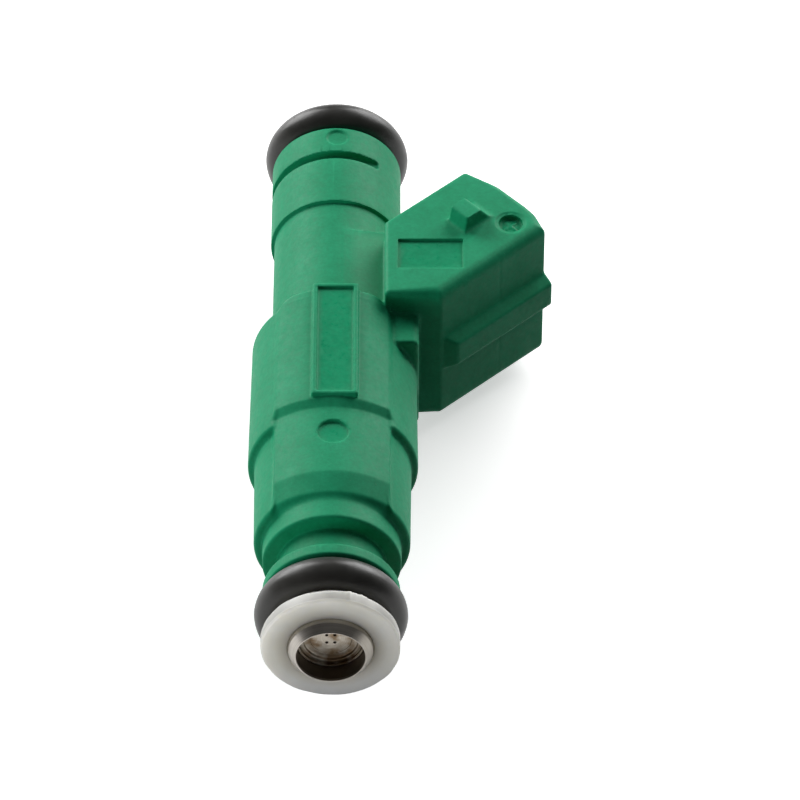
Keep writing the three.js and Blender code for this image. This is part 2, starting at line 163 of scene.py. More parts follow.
class Outline:
    """The signed distance to a closed outline, read from a fine table."""

    def __init__(self, points, low, high, step=0.05):
        self.low, self.step = np.array(low, float), step
        self.size = np.ceil((np.array(high) - low) / step).astype(int) + 2
        a = low[0] + step * np.arange(self.size[0])[:, None]
        b = low[1] + step * np.arange(self.size[1])[None, :]
        best = np.full(self.size, 1e9)
        inside = np.zeros(self.size, bool)
        for (ax, ay), (bx, by) in zip(points, np.roll(points, -1, 0)):
            ex, ey = bx - ax, by - ay
            length = ex * ex + ey * ey
            if length < 1e-12:
                continue
            along = np.clip(((a - ax) * ex + (b - ay) * ey) / length, 0, 1)
            best = np.minimum(best, (a - ax - along * ex) ** 2 + (b - ay - along * ey) ** 2)
            if ay != by:
                inside ^= ((ay > b) != (by > b)) & (a < ex * (b - ay) / ey + ax)
        self.table = np.where(inside, -1, 1) * np.sqrt(best)

    def __call__(self, a, b):
        i = np.clip((a - self.low[0]) / self.step, 0, self.size[0] - 1.001)
        j = np.clip((b - self.low[1]) / self.step, 0, self.size[1] - 1.001)
        i0, j0 = i.astype(np.int32), j.astype(np.int32)
        i, j = i - i0, j - j0
        t = self.table
        below = t[i0, j0] * (1 - i) + t[i0 + 1, j0] * i
        above = t[i0, j0 + 1] * (1 - i) + t[i0 + 1, j0 + 1] * i
        return below * (1 - j) + above * j


def join(a, b, k):
    """The union of two fields, with a fillet about k wide."""
    h = np.maximum(k - np.abs(a - b), 0) / k
    return np.minimum(a, b) - h * h * k / 4


def meet(a, b, k):
    """What two fields share, with an edge rounded about k."""
    return -join(-a, -b, k)


def cut(a, b, k):
    return meet(a, -b, k)


def mirrored_profile(corners):
    points = rounded(corners)
    return np.concatenate([points, points[::-1] * (-1, 1)])


BODY_LOW, BODY_HIGH = box_mm("plastic_body")
BOTTOM, TOP = BODY_LOW[1], BODY_HIGH[1]
SIDE = 8.5  # half the socket's thickness
COLLAR_BOTTOM = 8.95
COLLAR_TOP = 35.6
RING_R = 6.65  # the ring below the collars
PAD_HALF, PAD_TOP = 5.6, 36.6
PAD_DROP = 1.4  # the pad is turned about a line this far below the axis
PAD_STEP = 21.2

TURNED = Outline(mirrored_profile([
    (0, BOTTOM, 0),
    (6.55, BOTTOM, 0.25),
    (6.55, 3.2, 0.12),
    (5.2, 3.4, 0.3),
    (5.2, 6.5, 0.15),
    (RING_R, 6.6, 0.28),
    (RING_R, COLLAR_BOTTOM, 0.25),
    (7.5, COLLAR_BOTTOM, 0.45),
    (7.62, 19.3, 0.35),
    (8.27, 19.3, 0.4),
    (8.12, COLLAR_TOP, 0.45),
    (6.2, COLLAR_TOP, 0.3),
    (6.2, 50.9, 0.1),
    (6.56, 50.9, 0.12),
    (6.56, TOP, 0.25),
    (0, TOP, 0),
]), (0, BOTTOM - 2), (11, TOP + 2))

PAD = Outline(mirrored_profile([
    (0, 8, 0),
    (6, 8, 0),
    (6, COLLAR_BOTTOM, 0),
    (6.35 + PAD_DROP, COLLAR_BOTTOM, 0.1),
    (7.02 + PAD_DROP, COLLAR_BOTTOM + 0.55, 0.6),
    (7.65 + PAD_DROP, 11.75, 1.0),
    (7.65 + PAD_DROP, 20.3, 0.5),
    (8.1 + PAD_DROP, PAD_STEP, 0.5),
    (8.1 + PAD_DROP, PAD_TOP, 0.25),
    (0, PAD_TOP, 0),
]), (0, 6), (12.5, 39))

# The socket lies along one slanting direction, measured from the origin along and across it.
ANGLE = math.radians(42.7)
UX, UY = math.cos(ANGLE), math.sin(ANGLE)
NEAR, FAR = 18.8, 30.2  # its two sides
RIM, FLOOR, WALL = 46.57, 35.8, 1.4
NECK_X, NECK_Y = 5.0, 35.35

# Places of the small features, in millimetres: (low x, high x, low y, high y) or (x, y, radius).
LABEL_FRAME = (-2.05, 2.46, 21.4, 36.85)
LABEL = (-1.58, 1.99, 21.87, 36.38)
WINDOW = (6.3, 12.75, 39, 43.1)
LOW_MARK = (0.1, 17.1, 1.5)
HIGH_MARK = (0.12, 60.4, 1.0)
DISH = (17.5, 45.5, 1.47)
SLOT = (57.24, 58.31, 4.6)  # low y, high y, end x
WEB = (0.8, 5.6, 36, 47.2)
ROUGH_PATCH = (1.9, 4.9, 37.2, 46.7)


def in_socket(along, across):
    return along * UX - across * UY, along * UY + across * UX


BLOCK = Outline(rounded([
    (NECK_X, (FAR + NECK_X * UY) / UX, 0.3),
    (NECK_X, NECK_Y, 0.4),
    ((NECK_Y * UX - NEAR) / UY, NECK_Y, 0.6),
    (*in_socket(45.9, NEAR), 0.35),
    (*in_socket(RIM, 21), 1.5),
    (*in_socket(RIM, 26.4), 1.5),
    (*in_socket(45.6, FAR + 0.05), 0.5),
]), (-10, 30), (26, 58))


def band(value, low, high):
    return np.maximum(low - value, value - high)


def rectangle(x, y, sides, k=0.1):
    return meet(band(x, *sides[:2]), band(y, *sides[2:]), k)


def disc(x, y, mark):
    return np.hypot(x - mark[0], y - mark[1]) - mark[2]


def bell(value, middle, reach, width=1.0):
    """1 round the middle, fading to 0 at reach times width away from it."""
    return np.clip(reach - np.abs(value - middle) / width, 0, 1)


def plane(a, b, normal, point):
    """The distance past a slanting plane, from its outward direction and a point on it."""
    return normal[0] * (a - point[0]) + normal[1] * (b - point[1])


def barrel_field(x, y, z):
    """The turned barrel with its collars, and the flatter label pad between them."""
    radius = np.hypot(x, z)
    barrel = TURNED(radius, y)
    pad = PAD(np.hypot(x, z + PAD_DROP), y)
    pad_side = meet(np.abs(x) - PAD_HALF, y - PAD_TOP, 2.4)
    edge = 0.12 + 0.3 * np.clip(y - 21.6, 0, 1)
    # the collars are left out under the pad, and only the ring's core goes through
    gap = np.maximum(np.abs(x) - PAD_HALF + 0.1, 3 - z)
    gap = np.maximum(gap, band(y, COLLAR_BOTTOM - 0.35, COLLAR_TOP))
    core = np.maximum(radius - RING_R, band(y, 7.5, 20))
    # the collars' edges are softer where they stand above the pad
    softness = 0.1 + 0.6 * bell(y, 20, 1.3) + 0.4 * bell(y, 8.9, 1.3, 0.5)
    collars = np.minimum(cut(barrel, gap, softness), core)
    body = join(meet(pad, pad_side, edge), collars, 0.34)
    return np.minimum(body, np.maximum(pad, barrel) + 0.04)


def marks_field(body, x, y, z):
    """The slot and round mark at the inlet, the label's frame and the mark below it."""
    radius = np.hypot(x, z)
    shallow = 0.68 * np.clip((x - 2.6) / 2, 0, 1) ** 2
    slot = meet(band(y, *SLOT[:2]), 5.9 + shallow - radius, 0.3)
    body = cut(body, meet(slot, x - SLOT[2], 0.8), 0.12)
    body = cut(body, meet(disc(x, y, HIGH_MARK), 6.36 - z, 0.15), 0.22)
    frame_top, label_floor = 8.45, 8.13
    body = join(body, meet(rectangle(x, y, LABEL_FRAME, 0.22), band(z, 4, frame_top), 0.22), 0.14)
    body = cut(body, meet(rectangle(x, y, LABEL, 0.2), label_floor - z, 0.2), 0.16)
    return cut(body, meet(disc(x, y, LOW_MARK), 7.3 - z, 0.15), 0.16)


def web_field(body, x, y, z):
    """The web and the gusset between the barrel and the socket."""
    slope = plane(z, x, (0.991, 0.134), (0, 0)) - 6.2
    web = meet(np.maximum(slope, band(x, *WEB[:2])), band(y, *WEB[2:]), 0.15)
    body = join(body, np.maximum(web, 3 - z), 0.1)
    gusset = meet(meet(x - 8.35, z - 5.7, 0.8), band(y, 31.3, 37), 0.4)
    return join(body, np.maximum(gusset, 4 - x), 0.3)


def socket_field(body, x, y, z):
    """The socket with its rib, lug and opening."""
    along = x * UX + y * UY
    across = y * UX - x * UY
    width = 0.55 + 0.7 * np.clip((22.5 - across) / 3, 0, 1)
    mouth = plane(along, z, (0.43, 0.903), (RIM, SIDE)) + 0.2
    block = meet(meet(BLOCK(x, y), z - SIDE, width), mouth, 0.08)
    body = join(body, block, 0.28)
    rib_edge, rib_end, lug_top = 17.7, 46.0, 10.2
    rib = meet(rib_edge - across, plane(across, z, (-0.555, 0.832), (rib_edge, 1.4)), 0.2)
    rib = meet(rib, plane(along, across, (-0.737, -0.676), (31.9, 18.9)), 0.25)
    body = join(body, meet(np.maximum(rib, across - 20), along - rib_end, 0.3), 0.15)
    back, front = (39.4, 8.4), (42.9, 8.4)
    lug = meet(plane(along, z, (-0.986, 0.164), back), plane(along, z, (0.8, 0.6), front), 0.2)
    lug = meet(lug, np.maximum(band(across, 23.6, 26), z - lug_top), 0.2)
    body = join(body, np.maximum(lug, 7.5 - z), 0.45)
    hollow = meet(band(across, NEAR + WALL, FAR - WALL), z - SIDE + WALL, 0.95)
    body = cut(body, meet(hollow, FLOOR - along, 0.4), 0.25)
    # a faint line across the side, where two parts of the mould met
    line = np.exp(-((along - 39.7) / 0.2) ** 2) * np.clip((x - 12) / 2, 0, 1)
    line = line * np.clip((19.2 - across) / 0.3, 0, 1) * np.clip((across - 18.5) / 0.2, 0, 1)
    return body + 0.018 * line


def face_field(body, x, y, z):
    """The shallow window on the socket and the plus sign in its round dish."""
    body = cut(body, meet(rectangle(x, y, WINDOW, 0.12), 8.2 - z, 0.12), 0.1)
    dx, dy = x - DISH[0], y - DISH[1]
    a, b = np.abs(dx * UX + dy * UY), np.abs(dy * UX - dx * UY)
    arm, half = 0.8, 0.12
    plus = np.minimum(np.maximum(a - arm, b - half), np.maximum(b - arm, a - half))
    rim, well = disc(x, y, DISH), disc(x, y, DISH) + 0.25
    dish = np.minimum(np.maximum(rim, 8.44 - z), meet(well, 7.9 - z, 0.3))
    return cut(body, cut(dish, np.maximum(plus, z - 7.97), 0.12), 0.16)


def body_field(x, y, z):
    """Signed distance to the moulded body, both sides of z alike."""
    z = np.abs(z)
    body = barrel_field(x, y, z)
    for feature in (marks_field, web_field, socket_field, face_field):
        body = feature(body, x, y, z)
    return body


CELL = 0.14
BLOCK_CELLS = 4


def sampled_field(field, low, high):
    """The field on a lattice, worked out in full only near its surface."""
    block = CELL * BLOCK_CELLS
    count = np.ceil((np.array(high) - low) / block).astype(int)
    centres = [low[i] + block * (np.arange(count[i]) + 0.5) for i in range(3)]
    grid = np.meshgrid(*centres, indexing="ij")
    coarse = field(*(g.ravel() for g in grid)).reshape(count)
    lattice = coarse.astype(np.float32)
    for axis in range(3):
        lattice = np.repeat(lattice, BLOCK_CELLS, axis)
    near = np.argwhere(np.abs(coarse) < block * 1.2)
    inner = np.stack(np.meshgrid(*[np.arange(BLOCK_CELLS)] * 3, indexing="ij"), -1).reshape(-1, 3)
    for part in np.array_split(near, max(1, len(near) // 6000)):
        index = (part[:, None, :] * BLOCK_CELLS + inner).reshape(-1, 3)
        points = np.array(low) + CELL * (index + 0.5)
        lattice[index[:, 0], index[:, 1], index[:, 2]] = field(*points.T)
    return lattice, np.array(low) + CELL / 2


def surface_nets(lattice, origin):
    """A closed mesh of quads, with one vertex in each cell that the surface crosses."""
    solid = lattice < 0
    parts = [slice(None, -1), slice(1, None)]
    corners = [(i, j, k) for i in (0, 1) for j in (0, 1) for k in (0, 1)]
    count = sum(solid[parts[i], parts[j], parts[k]].astype(np.uint8) for i, j, k in corners)
    mixed = (count > 0) & (count < 8)
    base = np.argwhere(mixed)
    index = np.full(mixed.shape, -1, np.int32)
    index[mixed] = np.arange(len(base))
    total = np.zeros((len(base), 3))
    number = np.zeros(len(base))
    for axis in range(3):
        step = np.eye(3, dtype=int)[axis]
        for corner in corners:
            if corner[axis]:
                continue
            start = base + corner
            a = lattice[tuple(start.T)]
            b = lattice[tuple((start + step).T)]
            crosses = (a < 0) != (b < 0)
            t = np.where(crosses, a / np.where(crosses, a - b, 1), 0)
            total += crosses[:, None] * (np.array(corner) + t[:, None] * step)
            number += crosses
    vertices = origin + CELL * (base + total / number[:, None])
    quads = []
    for axis in range(3):
        lower = np.take(solid, range(solid.shape[axis] - 1), axis)
        upper = np.take(solid, range(1, solid.shape[axis]), axis)
        edges = np.argwhere(lower != upper)
        u, v = np.eye(3, dtype=int)[(axis + 1) % 3], np.eye(3, dtype=int)[(axis + 2) % 3]
        around = [edges - u - v, edges - v, edges, edges - u]
        faces = np.stack([index[tuple(c.T)] for c in around], 1)
        outward = lower[tuple(edges.T)]
        faces[~outward] = faces[~outward][:, ::-1]
        quads.append(faces)
    return vertices, np.concatenate(quads)


def settle(points, field, rounds=2):
    """Moves points onto the field's surface."""
    tiny = 0.01
    for _ in range(rounds):
        here = field(*points.T)
        ahead = [field(*(points + tiny * axis).T) for axis in np.eye(3)]
        slope = np.stack([value - here for value in ahead], 1) / tiny
        size = np.maximum((slope ** 2).sum(1), 0.2)
        step = np.clip(here / size, -CELL / 2, CELL / 2)
        points = points - step[:, None] * slope
    return points


def apply_modifiers(obj):
    graph = bpy.context.evaluated_depsgraph_get()
    made = bpy.data.meshes.new_from_object(obj.evaluated_get(graph))
    obj.modifiers.clear()
    old, obj.data = obj.data, made
    name = old.name
    bpy.data.meshes.remove(old)
    made.name = name


def cut_away(obj, cutter):
    change = obj.modifiers.new("cut", "BOOLEAN")
    change.operation = "DIFFERENCE"
    change.solver = "MANIFOLD"
    change.object = cutter
    apply_modifiers(obj)
    bpy.data.objects.remove(cutter)


def thin_out(obj, triangles):
    obj.data.calc_loop_triangles()
    ratio = triangles / len(obj.data.loop_triangles)
    if ratio < 1:
        change = obj.modifiers.new("thin", "DECIMATE")
        change.ratio = ratio
        apply_modifiers(obj)


# the room inside for the valve body, the magnet housing and the inlet tube
BORE, CHAMBER, TUBE = 4.33, 7.03, 3.75
CHAMBER_LOW, CHAMBER_HIGH = 13.47, 34.93
BODY_TRIANGLES = 180000


def body_piece():
    low = np.array((BODY_LOW[0], BODY_LOW[1], 0)) - (0.5, 0.5, 0)
    high = BODY_HIGH + 0.5
    lattice, origin = sampled_field(body_field, low, high)
    # both sides of z = 0 are alike
    lattice = np.concatenate([lattice[:, :, ::-1], lattice], 2)
    origin[2] -= CELL * (lattice.shape[2] // 2)
    vertices, quads = surface_nets(lattice, origin)
    obj = mesh_object("green_body", settle(vertices, body_field), quads.tolist())
    thin_out(obj, BODY_TRIANGLES)
    cutter = turned("bore", [
        (0, BOTTOM - 1, 0),
        (BORE, BOTTOM - 1, 0),
        (BORE, CHAMBER_LOW, 0),
        (CHAMBER, CHAMBER_LOW, 0),
        (CHAMBER, CHAMBER_HIGH, 0),
        (TUBE, CHAMBER_HIGH, 0),
        (TUBE, TOP + 1, 0),
        (0, TOP + 1, 0),
    ])
    cut_away(obj, cutter)
    shade(obj, 40)
    return obj


body = body_piece()


def mark_surface(obj):
    """Stores where the mould was polished and where it was left rough, for the material."""
    count = len(obj.data.vertices)
    points = np.empty(count * 3, np.float32)
    obj.data.vertices.foreach_get("co", points)
    x, y, z = (points / MM).reshape(-1, 3).T
    z = np.abs(z)
    # polished floors, without the fillets round them
    floors = np.minimum.reduce([
        rectangle(x, y, WINDOW) + 0.2,
        rectangle(x, y, LABEL) + 0.28,
        disc(x, y, LOW_MARK) + 0.3,
        disc(x, y, DISH) + 0.52,
    ])
    polish = np.clip(0.5 - np.maximum(floors, 5.5 - z) / 0.12, 0, 1)
    patch = np.maximum(rectangle(x, y, ROUGH_PATCH, 0.3), 5 - z)
    rough = np.clip(0.5 - patch / 0.9, 0, 1)
    for name, values in (("polish", polish), ("rough", rough)):
        made = obj.data.attributes.new(name, "FLOAT", "POINT")
        made.data.foreach_set("value", values.astype(np.float32))


mark_surface(body)


# ---- Materials ----

def set_inputs(tree, target, inputs):
    """Links a node's inputs to sockets, or gives them values."""
    for key, value in inputs.items():
        if isinstance(value, bpy.types.NodeSocket):
            tree.links.new(value, target.inputs[key])
        else:
            target.inputs[key].default_value = value


def node(tree, kind, inputs, **settings):
    made = tree.nodes.new(kind)
    for key, value in settings.items():
        setattr(made, key, value)
    set_inputs(tree, made, inputs)
    return made


def ramp(tree, value, stops):
    made = node(tree, "ShaderNodeValToRGB", {"Fac": value})
    points = made.color_ramp.elements
    while len(points) < len(stops):
        points.new(0.5)
    for point, (place, color) in zip(points, stops):
        point.position = place
        point.color = (*color, 1)
    return made.outputs["Color"]


def noise(tree, vector, size_mm, detail=3.0, stretch=(1, 1, 1)):
    """Noise with features about size_mm across."""
    inputs = {"Vector": vector, "Scale": stretch}
    scaled = node(tree, "ShaderNodeMapping", inputs, vector_type="POINT").outputs[0]
    inputs = {"Vector": scaled, "Scale": 0.6 / (size_mm * MM), "Detail": detail, "Roughness": 0.5}
    return node(tree, "ShaderNodeTexNoise", inputs).outputs["Fac"]


def to_range(tree, value, low, high, start=0.3, end=0.7):
    inputs = {"Value": value, "From Min": start, "From Max": end, "To Min": low, "To Max": high}
    return node(tree, "ShaderNodeMapRange", inputs).outputs["Result"]


def maths(tree, operation, a, b=0.0):
    return node(tree, "ShaderNodeMath", {0: a, 1: b}, operation=operation).outputs[0]


def times(tree, a, b):
    return maths(tree, "MULTIPLY", a, b)


def mixture(tree, a, share, b):
    """The share of a, and the rest of b."""
    return maths(tree, "ADD", times(tree, a, share), times(tree, b, 1 - share))


def round_axis(tree, where):
    """The sockets for x, y and the distance from the Y axis."""
    x, y, z = node(tree, "ShaderNodeSeparateXYZ", {"Vector": where}).outputs
    square = maths(tree, "ADD", times(tree, x, x), times(tree, z, z))
    return x, y, maths(tree, "SQRT", square)


def blend(tree, factor, a, b, mode="MIX"):
    """Two colours mixed, each a socket or (red, green, blue)."""
    a, b = ((*color, 1) if isinstance(color, tuple) else color for color in (a, b))
    inputs = {0: factor, 6: a, 7: b}
    return node(tree, "ShaderNodeMix", inputs, data_type="RGBA", blend_type=mode).outputs[2]


def new_material(name):
    made = bpy.data.materials.new(name)
    made.use_nodes = True
    tree = made.node_tree
    shader = tree.nodes["Principled BSDF"]
    where = node(tree, "ShaderNodeTexCoord", {}).outputs["Object"]
    return made, tree, shader, where


def bump(tree, shader, layers):
    """Adds bump layers, each (height, depth in mm, strength)."""
    normal = None
    for height, depth_mm, strength in layers:
        inputs = {"Height": height, "Distance": depth_mm * MM, "Strength": strength}
        if normal is not None:
            inputs["Normal"] = normal
        normal = node(tree, "ShaderNodeBump", inputs).outputs[0]
    tree.links.new(normal, shader.inputs["Normal"])


def moulded(name, dark, base, pale, marked=False):
    """Satin glass-filled nylon: faint mottling, fine grain and a few pale scuffs."""
    made, tree, shader, where = new_material(name)
    cloud = noise(tree, where, 3.0, 5)
    flow = noise(tree, where, 0.7, 3)
    mixed = mixture(tree, cloud, 0.6, flow)
    color = ramp(tree, mixed, [(0.36, dark), (0.5, base), (0.66, pale)])
    fleck = noise(tree, where, 0.2, 2)
    speckle = ramp(tree, fleck, [(0.3, (0.92, 0.92, 0.92)), (0.7, (1.07, 1.07, 1.07))])
    color = blend(tree, 1.0, color, speckle, "MULTIPLY")
    specks = to_range(tree, noise(tree, where, 0.14, 2), 0, 1, 0.66, 0.8)
    amount = to_range(tree, noise(tree, where, 7.0, 2), 0.0, 0.2, 0.46, 0.66)
    rough = to_range(tree, noise(tree, where, 0.35, 3), 0.5, 0.62)
    if marked:
        polish = node(tree, "ShaderNodeAttribute", {}, attribute_name="polish").outputs["Fac"]
        coarse = node(tree, "ShaderNodeAttribute", {}, attribute_name="rough").outputs["Fac"]
        amount = maths(tree, "ADD", amount, times(tree, coarse, 0.35))
        amount = times(tree, amount, maths(tree, "SUBTRACT", 1.0, polish))
        rough = maths(tree, "SUBTRACT", rough, times(tree, polish, 0.24))
        color = blend(tree, times(tree, coarse, 0.2), color, (0.16, 0.34, 0.22))
    lighter = tuple(0.55 * c + 0.14 for c in pale)
    color = blend(tree, times(tree, specks, amount), color, lighter)
    set_inputs(tree, shader, {"Base Color": color, "Roughness": rough, "Specular IOR Level": 0.13})
    fine, broad = noise(tree, where, 0.12, 3), noise(tree, where, 1.6, 2)
    if marked:
        fine = times(tree, fine, maths(tree, "SUBTRACT", 1.0, times(tree, polish, 0.8)))
    bump(tree, shader, [(fine, 0.012, 0.6), (broad, 0.024, 0.4)])
    return made


def rubber_material(name):
    made, tree, shader, where = new_material(name)
    cloud = noise(tree, where, 2.5, 4)
    color = ramp(tree, cloud, [(0.35, (0.020, 0.0193, 0.0175)), (0.7, (0.034, 0.033, 0.030))])
    rough = to_range(tree, noise(tree, where, 0.6, 3), 0.31, 0.42)
    set_inputs(tree, shader, {"Base Color": color, "Roughness": rough, "Specular IOR Level": 0.42})
    fine, broad = noise(tree, where, 0.1, 2), noise(tree, where, 1.1, 2)
    bump(tree, shader, [(fine, 0.006, 0.5), (broad, 0.012, 0.5)])
    return made


def milky_material(name):
    made, tree, shader, where = new_material(name)
    cloud = noise(tree, where, 2.2, 4)
    color = ramp(tree, cloud, [
        (0.3, (0.80, 0.79, 0.725)),
        (0.55, (0.84, 0.835, 0.775)),
        (0.75, (0.88, 0.88, 0.835)),
    ])
    x, y, radius = round_axis(tree, where)
    warm = to_range(tree, radius, 0.55, 0.0, 4.2 * MM, 5.4 * MM)
    color = blend(tree, warm, color, (0.60, 0.53, 0.40))
    # painted shade: the thin rim band at the front of the cap is greyed, darker than the lamps leave
    # it
    front = box_mm("nozzle_cap")[0][1]
    rim = to_range(tree, y, 0.0, 0.9, (front + 0.04) * MM, (front + 0.35) * MM)
    rim = times(tree, rim, maths(tree, "GREATER_THAN", radius, 6.0 * MM))
    color = blend(tree, rim, color, (0.30, 0.30, 0.29))
    set_inputs(tree, shader, {
        "Base Color": color,
        "Roughness": to_range(tree, noise(tree, where, 0.8, 3), 0.3, 0.42),
        "Specular IOR Level": 0.3,
        "Subsurface Weight": 0.9,
        "Subsurface Radius": (1.0, 0.95, 0.8),
        "Subsurface Scale": 4.0 * MM,
    })
    fine, broad = noise(tree, where, 0.25, 2), noise(tree, where, 1.5, 2)
    bump(tree, shader, [(fine, 0.006, 0.5), (broad, 0.02, 0.4)])
    return made


def turned_metal(name, base, pale, roughness=(0.2, 0.34), ring=0.05, depth=0.004,
                 stain=None, bore_tint_and_side_shade=None):
    """Metal with the fine rings that a lathe leaves round the Y axis.

    The rings are about `ring` mm wide and `depth` mm deep. `stain` is the colour of blotches all
    over.
    The last colour is the brown that darkens the inside of the tip's bore; it also turns on painted
    shade on the tip's right side.
    """
    made, tree, shader, where = new_material(name)
    x, y, radius = round_axis(tree, where)
    around = node(tree, "ShaderNodeCombineXYZ", {"X": radius, "Y": y}).outputs[0]
    rings = noise(tree, around, ring, 2)
    cloud = noise(tree, where, 1.8, 4)
    mixed = mixture(tree, rings, 0.45, cloud)
    color = ramp(tree, mixed, [(0.38, base), (0.62, pale)])
    if stain:
        blotches = to_range(tree, noise(tree, where, 0.9, 4), 0, 0.85, 0.42, 0.6)
        color = blend(tree, blotches, color, stain)
    rough = to_range(tree, mixed, *roughness)
    if bore_tint_and_side_shade:
        # the inside of the tip's bore is darkened towards brown
        inside = maths(tree, "LESS_THAN", radius, 3.29 * MM)
        inside = times(tree, inside, to_range(tree, y, 0, 1, -5.32 * MM, -5.0 * MM))
        inside = times(tree, inside, to_range(tree, y, 1, 0, -2.6 * MM, -2.0 * MM))
        bore_tint_share = times(tree, inside, to_range(tree, cloud, 0.75, 0.97))
        color = blend(tree, bore_tint_share, color, bore_tint_and_side_shade)
        rough = maths(tree, "ADD", rough, times(tree, inside, 0.2))
        # painted shade: the tip's right side is darkened, as if less lit
        right = to_range(tree, x, 0, 0.5, 0.5 * MM, 3.2 * MM)
        painted_side_shade = times(tree, right, to_range(tree, y, 1, 0, -4.2 * MM, -3.9 * MM))
        color = blend(tree, painted_side_shade, color, (0.16, 0.145, 0.115))
    set_inputs(tree, shader, {"Base Color": color, "Roughness": rough, "Metallic": 1})
    bump(tree, shader, [(rings, depth, 0.6), (noise(tree, where, 0.3, 2), depth, 0.3)])
    return made


def sheet_metal(name, base, pale, roughness=(0.25, 0.4)):
    made, tree, shader, where = new_material(name)
    streaks = noise(tree, where, 0.25, 3, (0.3, 0.3, 2.0))
    cloud = noise(tree, where, 1.6, 3)
    color = ramp(tree, cloud, [(0.35, base), (0.65, pale)])
    rough = to_range(tree, streaks, *roughness)
    set_inputs(tree, shader, {"Base Color": color, "Roughness": rough, "Metallic": 1})
    bump(tree, shader, [(streaks, 0.005, 0.5)])
    return made


def wound_copper(name):
    """Enamelled wire laid side by side round the Y axis."""
    made, tree, shader, where = new_material(name)
    y = node(tree, "ShaderNodeSeparateXYZ", {"Vector": where}).outputs[1]
    wire_width = 0.22 * MM
    wire = maths(tree, "SINE", times(tree, y, 2 * math.pi / wire_width))
    cloud = noise(tree, where, 1.2, 3)
    color = ramp(tree, cloud, [(0.35, (0.35, 0.10, 0.035)), (0.65, (0.60, 0.21, 0.08))])
    rough = to_range(tree, noise(tree, where, 0.5, 2), 0.22, 0.36)
    set_inputs(tree, shader, {"Base Color": color, "Roughness": rough, "Metallic": 1})
    bump(tree, shader, [(wire, 0.05, 0.8)])
    return made


green = moulded(
    "green_nylon", (0.006, 0.222, 0.100), (0.008, 0.246, 0.113), (0.011, 0.268, 0.127), marked=True)
black_nylon = moulded(
    "black_nylon", (0.010, 0.010, 0.011), (0.016, 0.016, 0.017), (0.03, 0.03, 0.03))
strainer_nylon = moulded(
    "strainer_nylon", (0.02, 0.04, 0.10), (0.03, 0.06, 0.15), (0.05, 0.09, 0.2))
rubber = rubber_material("o_ring_rubber")
milky = milky_material("milky_plastic")
stainless = turned_metal(
    "stainless", (0.34, 0.315, 0.285), (0.50, 0.47, 0.43), (0.26, 0.4), bore_tint_and_side_shade=(0.10, 0.075, 0.05))
spray_steel = turned_metal(
    "spray_steel", (0.40, 0.36, 0.30), (0.56, 0.52, 0.45), (0.3, 0.45), stain=(0.16, 0.095, 0.04))
hard_steel = turned_metal(
    "hard_steel", (0.42, 0.42, 0.42), (0.60, 0.60, 0.60), (0.08, 0.18), 0.03, 0.001)
magnet_steel = turned_metal("magnet_steel", (0.36, 0.37, 0.38), (0.50, 0.51, 0.52), (0.35, 0.5))
spring_steel = sheet_metal("spring_steel", (0.40, 0.40, 0.41), (0.58, 0.58, 0.60), (0.2, 0.3))
tinned_brass = sheet_metal("tinned_brass", (0.62, 0.56, 0.42), (0.76, 0.72, 0.60))
collar_brass = turned_metal("collar_brass", (0.60, 0.42, 0.17), (0.78, 0.60, 0.30))
copper = wound_copper("wound_copper")


def finish(obj, material):
    obj.data.materials.clear()
    obj.data.materials.append(material)


def stand_for(obj, node_name, material, body="housing"):
    finish(obj, material)
    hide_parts(node_name)
    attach(obj, body)


stand_for(body, "plastic_body", green)


# ---- Nozzle end ----

def o_ring(name, node_name):
    """A rubber ring with the fine parting line that its mould leaves."""
    low, high = box_mm(node_name)
    middle = (low[1] + high[1]) / 2
    section = (high[1] - low[1]) / 2
    across = high[2] - section
    sides, line = 36, 0.015
    points = []
    for i in range(sides):
        turn = 2 * math.pi * i / sides
        r = section - (0.0 if i % (sides // 2) == 0 else line)
        points.append((across + r * math.cos(turn), middle + r * math.sin(turn)))
    obj = mesh_object(name, *turned_mesh(points, 192), 60)
    stand_for(obj, node_name, rubber)


o_ring("lower_seal", "lower_o_ring")
o_ring("upper_seal", "upper_o_ring")

CAP_LOW, CAP_HIGH = box_mm("nozzle_cap")
CAP_FRONT, CAP_BACK, CAP_R = CAP_LOW[1], CAP_HIGH[1], CAP_HIGH[2]
CAP_RIM, CAP_BORE = -2.95, 4.09


